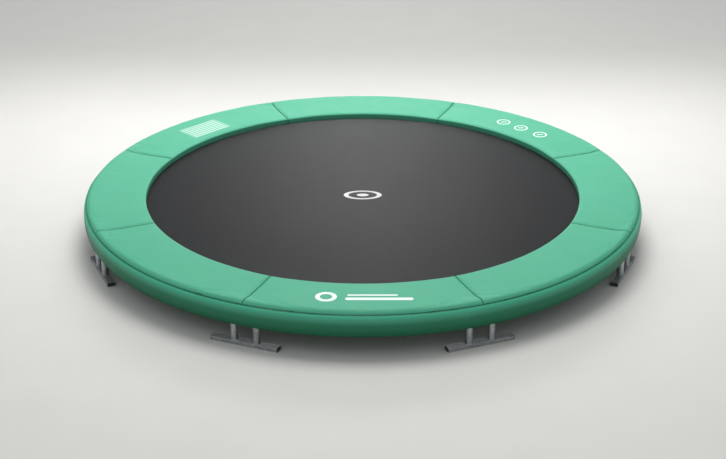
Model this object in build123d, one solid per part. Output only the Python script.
"""Round in-ground trampoline: low galvanised frame, sprung jumping mat and padded edge cover.

Millimetres. Origin: centre of the mat, at the height of the feet's flat undersides. +Z up, front of
the trampoline at -Y. Every ring-shaped piece is centred on Z. Repeated pieces are modelled near +X
and turned about Z to their places.
"""

import os
from math import acos, cos, degrees, radians, sin, tan

from build123d import *

os.makedirs("parts", exist_ok=True)

# ---------------------------------------------------------------- shared dimensions
SECTORS = 8  # rail segments, leg frames and pad panels
SECTOR = 360.0 / SECTORS
FIRST_JOINT = -90.0 - SECTOR / 2  # rail joint left of the front panel

TUBE_OD, TUBE_WALL = 45.0, 1.5
TUBE_R = TUBE_OD / 2
BORE_R = TUBE_R - TUBE_WALL
FRAME_OD = 3660.0  # the 12 ft size
RAIL_R = FRAME_OD / 2 - TUBE_R  # centreline of the top rail
RAIL_Z = 235.0

UPRIGHT_OFFSET = 2.33  # degrees either side of a rail joint
UPRIGHT_X = RAIL_R * cos(radians(UPRIGHT_OFFSET))  # in a leg frame centred on angle 0
UPRIGHT_Y = RAIL_R * sin(radians(UPRIGHT_OFFSET))
LEG_BOLT_Z = 160.0
LEG_BOLT_HOLE = 9.0
LEG_DRILL_LEN = 60.0

SPRINGS = 80
SPRING_PITCH = 360.0 / SPRINGS
SPRING_Z = 247.0

JOINT_ANGLES = [FIRST_JOINT + SECTOR * i for i in range(SECTORS)]
LEG_ANGLES = [FIRST_JOINT + SECTOR * (i + 1) for i in range(SECTORS)]
SPRING_ANGLES = [FIRST_JOINT + SPRING_PITCH * (i + 0.5) for i in range(SPRINGS)]


# ---------------------------------------------------------------- helpers
def arc_deg(length):
    """The angle that a length along the rail's centreline spans."""
    return degrees(length / RAIL_R)


def around(shape, angle):
    return Rot(0, 0, angle) * shape


def copies(shapes, angles):
    return [around(shape, angle) for angle in angles for shape in shapes]


def swept_ring(face, start, end):
    """A face drawn at (radius, height), turned about Z from start to end degrees."""
    return around(revolve(Plane.XZ * face, Axis.Z, revolution_arc=end - start), start)


def rail_sweep(radius, start, end):
    """A round bar along the rail's centreline."""
    return swept_ring(Pos(RAIL_R, RAIL_Z) * Circle(radius), start, end)


def window(left, right, low, high):
    """A rectangle given by its four sides."""
    return Pos((left + right) / 2, (low + high) / 2) * Rectangle(right - left, high - low)


def hexagon(across_flats):
    return RegularPolygon(across_flats / 2, 6, major_radius=False)


def rod(start, end, radius):
    """A straight round bar between two points."""
    start, end = Vector(start), Vector(end)
    plane = Plane(origin=start, z_dir=end - start)
    return extrude(plane * Circle(radius), (end - start).length)


def bent_rod(points, bend, radius, closed=False):
    """A round bar along straight runs in one plane, joined by circular bends of one radius."""
    corners = [Vector(*point) for point in points]
    count = len(corners)
    arrive, depart = list(corners), list(corners)
    shape = None
    for i in range(count) if closed else range(1, count - 1):
        before = (corners[i] - corners[i - 1]).normalized()
        after = (corners[(i + 1) % count] - corners[i]).normalized()
        angle = acos(before.dot(after))
        setback = bend * tan(angle / 2)
        arrive[i] = corners[i] - before * setback
        depart[i] = corners[i] + after * setback
        normal = before.cross(after).normalized()
        centre = arrive[i] + normal.cross(before) * bend
        section = Plane(origin=arrive[i], z_dir=before) * Circle(radius)
        elbow = revolve(section, Axis(centre, normal), revolution_arc=degrees(angle))
        shape = elbow if shape is None else shape + elbow
    for i in range(count) if closed else range(1, count):
        shape += rod(depart[i - 1], arrive[i], radius)
    return shape


def inset(points, distance):
    """The points of a clockwise outline, moved inwards by a distance along mitred corners."""
    moved = []
    for i, (x, y) in enumerate(points):
        before_x, before_y = points[i - 1]
        after_x, after_y = points[(i + 1) % len(points)]
        arriving = Vector(x - before_x, y - before_y).normalized()
        leaving = Vector(after_x - x, after_y - y).normalized()
        normal_in = Vector(arriving.Y, -arriving.X)
        normal_out = Vector(leaving.Y, -leaving.X)
        scale = distance / (1 + normal_in.dot(normal_out))
        moved.append((x + scale * (normal_in.X + normal_out.X),
                      y + scale * (normal_in.Y + normal_out.Y)))
    return moved


def upright_point(side, z):
    """A point on the axis of one upright of the leg frame centred on angle 0."""
    return UPRIGHT_X, side * UPRIGHT_Y, z


def leg_bolt_drill(side):
    place = Pos(*upright_point(side, LEG_BOLT_Z))
    return place * Rot(90, 0, 0) * Cylinder(LEG_BOLT_HOLE / 2, LEG_DRILL_LEN)


def save(name, *shapes):
    """Write the solids of all the shapes to one STEP file."""
    solids = [solid for shape in shapes for solid in shape.solids()]
    export_step(solids[0] if len(solids) == 1 else Compound(children=solids), f"parts/{name}.step")


def save_each(name, shape, angles):
    """Write one numbered file for each turned copy of a shape."""
    for number, angle in enumerate(angles, 1):
        save(f"{name}_{number}", around(shape, angle))


# ---------------------------------------------------------------- top rail
PLUG_R = BORE_R - 0.2  # swaged rail ends slide into the bore, leg sockets into the uprights
PLUG_BORE_R = PLUG_R - TUBE_WALL
PLUG_LEN = 60.0
JOINT_GAP = 0.5
SHOULDER = 4.0  # the full bore stops this far before the swaged end
SOCKET_BOTTOM = 112.0
SPRING_HOLE = 9.0
SPRING_HOLE_ANGLE = 56.0  # above horizontal, on the mat side of the rail
SCREW_HOLE_R = 2.6
SCREW_ANGLE = arc_deg(30.0)  # from a rail joint
DRILL_FROM, DRILL_TO = 10, 32  # from the rail's centreline, through one wall only


def rail_segment():
    """The segment that starts at angle 0, with its swaged plug past the far end."""
    start = arc_deg(JOINT_GAP / 2)
    end = SECTOR - start
    rail = rail_sweep(TUBE_R, start, end)
    rail += rail_sweep(PLUG_R, end - arc_deg(1.0), end + arc_deg(PLUG_LEN))
    socket_len = RAIL_Z - SOCKET_BOTTOM
    for angle in (UPRIGHT_OFFSET, SECTOR - UPRIGHT_OFFSET):
        socket = Cylinder(PLUG_R, socket_len) - Cylinder(PLUG_BORE_R, socket_len)
        rail += around(Pos(RAIL_R, 0, (RAIL_Z + SOCKET_BOTTOM) / 2) * socket, angle)
    rail -= rail_sweep(BORE_R, -1.0, end - arc_deg(SHOULDER))
    rail -= rail_sweep(PLUG_BORE_R, end - arc_deg(SHOULDER + 1.0), end + arc_deg(PLUG_LEN + 2.0))

    centre = Vector(RAIL_R, 0, RAIL_Z)
    tilt = radians(SPRING_HOLE_ANGLE)
    outward = Vector(-cos(tilt), 0, sin(tilt))
    spring_hole = rod(centre + outward * DRILL_FROM, centre + outward * DRILL_TO, SPRING_HOLE / 2)
    for i in range(SPRINGS // SECTORS):
        rail -= around(spring_hole, SPRING_PITCH * (i + 0.5))
    screw_hole = rod(centre - Vector(DRILL_FROM, 0, 0), centre - Vector(DRILL_TO, 0, 0), SCREW_HOLE_R)
    rail -= around(screw_hole, SCREW_ANGLE)
    rail -= around(screw_hole, SECTOR + SCREW_ANGLE)
    for side, angle in ((1, 0.0), (-1, SECTOR)):  # in line with the holes of the uprights
        rail -= around(leg_bolt_drill(side), angle)
    return rail


save_each("top_rail", rail_segment(), JOINT_ANGLES)

# ---------------------------------------------------------------- leg frames
FOOT_LEN, FOOT_W, FOOT_H, FOOT_WALL = 430.0, 50.0, 25.0, 2.0
FOOT_INNER_W = FOOT_W - 2 * FOOT_WALL
FOOT_INNER_H = FOOT_H - 2 * FOOT_WALL
FOOT_CORNER, FOOT_INNER_CORNER = 3.0, 1.2
UPRIGHT_TOP = 205.0
UPRIGHT_BOTTOM = FOOT_H - FOOT_WALL + 0.4  # within the foot bar's top wall
BEAD_H, BEAD_SINK = 4.0, 0.4


def foot_plane(y, z_dir):
    """The plane of a foot bar's cross-section."""
    return Plane(origin=(UPRIGHT_X, y, FOOT_H / 2), x_dir=(1, 0, 0), z_dir=(0, z_dir, 0))


def leg_frame():
    """A flat foot bar with two uprights, centred on angle 0."""
    section = RectangleRounded(FOOT_W, FOOT_H, FOOT_CORNER)
    section -= RectangleRounded(FOOT_INNER_W, FOOT_INNER_H, FOOT_INNER_CORNER)
    leg = extrude(foot_plane(-FOOT_LEN / 2, 1) * section, FOOT_LEN)
    height = UPRIGHT_TOP - UPRIGHT_BOTTOM
    for side in (-1, 1):
        tube = Cylinder(TUBE_R, height) - Cylinder(BORE_R, height)
        leg += Pos(*upright_point(side, (UPRIGHT_TOP + UPRIGHT_BOTTOM) / 2)) * tube
        bead = Cone(TUBE_R + 2.4, TUBE_R + 0.2, BEAD_H) - Cylinder(TUBE_R - 0.5, BEAD_H + 2)
        leg += Pos(*upright_point(side, FOOT_H - BEAD_SINK + BEAD_H / 2)) * bead
        leg -= leg_bolt_drill(side)
    return leg


save_each("leg_frame", leg_frame(), LEG_ANGLES)

# ---------------------------------------------------------------- plugs in the foot bars' ends
CAP_GAP, CAP_T, CAP_CHAMFER = 0.1, 3.0, 1.0
CAP_MARGIN = 0.6  # flange smaller than the bar
CORE_PLAY, CORE_WALL, CORE_LEN = 0.5, 2.0, 16.0
CORE_CORNER, CORE_INNER_CORNER = 1.2, 1.0


def foot_plug(side):
    """A chamfered flange with a hollow core that reaches into the bar."""
    face_y = side * (FOOT_LEN / 2 + CAP_GAP)
    outline = RectangleRounded(FOOT_W - CAP_MARGIN, FOOT_H - CAP_MARGIN, FOOT_CORNER)
    flange = extrude(foot_plane(face_y, side) * outline, CAP_T)
    outer_face = flange.faces().sort_by(Axis.Y)[-1 if side > 0 else 0]
    flange = chamfer(outer_face.edges(), CAP_CHAMFER)
    hollow = CORE_PLAY + 2 * CORE_WALL
    section = RectangleRounded(FOOT_INNER_W - CORE_PLAY, FOOT_INNER_H - CORE_PLAY, CORE_CORNER)
    section -= RectangleRounded(FOOT_INNER_W - hollow, FOOT_INNER_H - hollow, CORE_INNER_CORNER)
    core = extrude(foot_plane(face_y, -side) * section, CORE_LEN)
    return flange + core


save("foot_plugs", *copies([foot_plug(side) for side in (-1, 1)], LEG_ANGLES))

# ---------------------------------------------------------------- bolts through the leg sockets
HEX_FLATS, HEAD_H, NUT_H = 13, 5.3, 6.5
SHANK_R, NUT_BORE_R = 4.0, 4.1
SHANK_START, SHANK_END = 2.4, 11.5  # beyond the tube's surface, at the head and at the nut
WASHER_R, WASHER_BORE_R, WASHER_T = 8.0, 4.3, 1.6
SEAT_GAP = 0.15  # each side of a washer
HEX_SEAT = SEAT_GAP + WASHER_T + SEAT_GAP


def bolt_plane(side, direction, clearance):
    """A plane across the bolt, a clearance beyond the tube's surface in a Y direction."""
    out = Vector(0, direction, 0)
    middle = Vector(*upright_point(side, LEG_BOLT_Z))
    return Plane(origin=middle + out * (TUBE_R + clearance), z_dir=out)


def leg_bolt(side):
    """A hex bolt with its head on the side away from the rail joint."""
    middle = Vector(*upright_point(side, LEG_BOLT_Z))
    out = Vector(0, side, 0)
    head = extrude(bolt_plane(side, side, HEX_SEAT) * hexagon(HEX_FLATS), HEAD_H)
    shank = rod(middle + out * (TUBE_R + SHANK_START), middle - out * (TUBE_R + SHANK_END), SHANK_R)
    return head + shank


def leg_washer(side, direction):
    washer = Circle(WASHER_R) - Circle(WASHER_BORE_R)
    return extrude(bolt_plane(side, direction, SEAT_GAP) * washer, WASHER_T)


def leg_nut(side):
    nut = hexagon(HEX_FLATS) - Circle(NUT_BORE_R)
    return extrude(bolt_plane(side, -side, HEX_SEAT) * nut, NUT_H)


washers = [leg_washer(side, direction) for side in (-1, 1) for direction in (side, -side)]
save("leg_bolts", *copies([leg_bolt(side) for side in (-1, 1)], LEG_ANGLES))
save("leg_washers", *copies(washers, LEG_ANGLES))
save("leg_nuts", *copies([leg_nut(side) for side in (-1, 1)], LEG_ANGLES))


# ---------------------------------------------------------------- screws that lock the rail joints
def joint_screw():
    """A flanged hex screw that enters the rail from the mat side."""
    rail_inside = RAIL_R - TUBE_R
    seat = Plane(origin=(rail_inside - 0.15, 0, RAIL_Z), z_dir=(-1, 0, 0))
    flange_r, flange_t = 5.2, 1.0
    head_flats, head_h = 8.0, 4.6
    shank_r, shank_reach = 2.4, 13
    screw = extrude(seat * Circle(flange_r), flange_t)
    screw += extrude(seat * hexagon(head_flats), head_h)
    screw += rod((rail_inside - 0.3, 0, RAIL_Z), (rail_inside + shank_reach, 0, RAIL_Z), shank_r)
    return screw


save("rail_joint_screws", *copies([joint_screw()], [a + SCREW_ANGLE for a in JOINT_ANGLES]))

# ---------------------------------------------------------------- springs
WIRE = 3.2
COIL_R = 12.5
COIL_IN, COIL_OUT = 1612.0, 1768.0  # radial ends of the coiled body
COIL_TAPER = 13.0
HOOK_RISE = 2.8  # height of the hooks' wire above the coil's axis, where it leaves the coil
HOOK_BEND = 5.2
# corners of the hooks' centrelines: radius, height above the coil's axis
OUTER_HOOK = [
    (COIL_OUT - 3.0, HOOK_RISE),
    (1774.5, HOOK_RISE),
    (1784.4, 13.8),
    (1794.4, 13.8),
    (1794.4, -4.5),
]
INNER_HOOK = [
    (COIL_IN + 3.0, HOOK_RISE),
    (1606.5, HOOK_RISE),
    (1598.0, 6.6),
    (1584.25, 6.6),
    (1584.25, -6.2),
    (1592.6, -6.2),
]


def coil_spring():
    """The coiled body as a hollow barrel with tapered ends, and a wire hook at each end."""
    end_half = WIRE / 2 + 0.3  # the end turns are a little wider than the hook's wire
    end_outer, end_inner = HOOK_RISE + end_half, HOOK_RISE - end_half
    profile = Polygon(
        (COIL_IN, end_inner),
        (COIL_IN, end_outer),
        (COIL_IN + COIL_TAPER, COIL_R),
        (COIL_OUT - COIL_TAPER, COIL_R),
        (COIL_OUT, end_outer),
        (COIL_OUT, end_inner),
        (COIL_OUT - COIL_TAPER, COIL_R - WIRE),
        (COIL_IN + COIL_TAPER, COIL_R - WIRE),
        align=None,
    )
    spring = Pos(0, 0, SPRING_Z) * revolve(Plane.XZ * profile, Axis.X, revolution_arc=360)
    for hook in (OUTER_HOOK, INNER_HOOK):
        points = [(x, 0, SPRING_Z + rise) for x, rise in hook]
        spring += bent_rod(points, HOOK_BEND, WIRE / 2)
    return spring


save("springs", *copies([coil_spring()], SPRING_ANGLES))

# ---------------------------------------------------------------- V-rings and their webbing loops
RING_WIRE, RING_BEND = 4.0, 5.5
RING_BAR_R, RING_APEX_R, RING_HALF = 1556.5, 1591.5, 32.0
LOOP_WIDTH, LOOP_THICK, LOOP_IN = 38.0, 1.5, 1500.0
FOLD_R = 3.5  # inside radius of the fold round the ring's bar


def v_ring():
    """A closed wire triangle with its apex outwards."""
    corners = [
        (RING_BAR_R, -RING_HALF, SPRING_Z),
        (RING_APEX_R, 0, SPRING_Z),
        (RING_BAR_R, RING_HALF, SPRING_Z),
    ]
    return bent_rod(corners, RING_BEND, RING_WIRE / 2, closed=True)


def ring_loop():
    """Webbing folded round the ring's bar, with a leaf above and a leaf below."""
    face = Pos(RING_BAR_R, SPRING_Z) * (Circle(FOLD_R + LOOP_THICK) - Circle(FOLD_R))
    face -= window(RING_BAR_R - 40, RING_BAR_R, SPRING_Z - 20, SPRING_Z + 20)
    for side in (-1, 1):
        middle = SPRING_Z + side * (FOLD_R + LOOP_THICK / 2)
        low, high = middle - LOOP_THICK / 2, middle + LOOP_THICK / 2
        face += window(LOOP_IN, RING_BAR_R + 0.1, low, high)  # laps into the fold
    return extrude(Plane.XZ * face, LOOP_WIDTH / 2, both=True)


save("v_rings", *copies([v_ring()], SPRING_ANGLES))
save("ring_loops", *copies([ring_loop()], SPRING_ANGLES))

# ---------------------------------------------------------------- mat and its edge webbing
MAT_R, MAT_T = 1540.0, 1.2
HEM_W, HEM_T, HEM_GAP = 48.0, 2.0, 0.2


def hem_webbing():
    bottom = SPRING_Z + MAT_T / 2 + HEM_GAP
    return Pos(0, 0, bottom + HEM_T / 2) * (Cylinder(MAT_R, HEM_T) - Cylinder(MAT_R - HEM_W, HEM_T))


save("jumping_mat", Pos(0, 0, SPRING_Z) * Cylinder(MAT_R, MAT_T))
save("mat_hem_webbing", hem_webbing())

# ---------------------------------------------------------------- pad cover and foam
# cross-section (radius, height), clockwise from the foot of the inner lip
PAD_OUTLINE = [
    # inner lip
    (1446.0, 252.0), (1446.0, 287.5), (1447.5, 290.2), (1451.0, 291.6),
    # top
    (1482.0, 293.2), (1518.0, 294.2), (1590.0, 295.7), (1663.0, 296.8),
    (1740.0, 297.8), (1795.0, 298.4), (1815.0, 298.1),
    # sewn shoulder
    (1825.5, 295.5), (1831.2, 289.5), (1834.3, 281.0), (1836.3, 274.6),
    # rolled side
    (1841.0, 274.5), (1846.6, 271.2), (1850.8, 264.0), (1853.0, 252.0),
    (1853.5, 238.0), (1853.5, 212.0), (1852.0, 186.0), (1848.0, 162.0),
    # hem
    (1841.0, 146.0), (1836.5, 137.0), (1832.2, 137.0),
    # underside
    (1832.2, 252.0), (1815.0, 264.0), (1472.0, 264.0), (1458.0, 252.0),
]
PAD_SKIN = 1.2
FOAM_INSET = 2.8
FOAM_END_GAP = 22.0  # along the rail, at each end of a panel
# left, right, low and high limits of each foam inside the outline
TOP_FOAM_LIMITS = (1440, 1808, 240, 340)
SIDE_FOAM_LIMITS = (1834.6, 1865.4, 150, 256)


def pad_section(distance):
    return Polygon(*inset(PAD_OUTLINE, distance), align=None)


def pad_cover():
    face = Polygon(*PAD_OUTLINE, align=None) - pad_section(PAD_SKIN)
    return revolve(Plane.XZ * face, Axis.Z, revolution_arc=360)


def save_foam(name, limits):
    """Foam of one cross-section in every panel."""
    face = pad_section(FOAM_INSET) & window(*limits)
    end_gap = arc_deg(FOAM_END_GAP)
    for number, angle in enumerate(JOINT_ANGLES, 1):
        save(f"{name}_{number}", swept_ring(face, angle + end_gap, angle + SECTOR - end_gap))


save("pad_cover", pad_cover())
save_foam("pad_top_foam", TOP_FOAM_LIMITS)
save_foam("pad_side_foam", SIDE_FOAM_LIMITS)

# ---------------------------------------------------------------- pad straps
STRAP_W, STRAP_T = 25.0, 1.2
STRAP_R = 24.1  # outside of the band round the rail
STRAP_PITCHES = (3, 7)  # spring pitches from a rail joint
# tongue above the band, reaching towards the mat: radius, height
TONGUE_OUTLINE = [
    (1809.0, 257.95), (1809.0, 259.0), (1796.0, 263.5),
    (1752.0, 263.5), (1752.0, 262.3), (1795.6, 262.3),
]


def pad_strap():
    band = Pos(RAIL_R, RAIL_Z) * (Circle(STRAP_R) - Circle(STRAP_R - STRAP_T))
    tongue = Polygon(*TONGUE_OUTLINE, align=None)
    return extrude(Plane.XZ * (band + tongue), STRAP_W / 2, both=True)


strap_angles = [joint + n * SPRING_PITCH for joint in JOINT_ANGLES for n in STRAP_PITCHES]
save("pad_straps", *copies([pad_strap()], strap_angles))
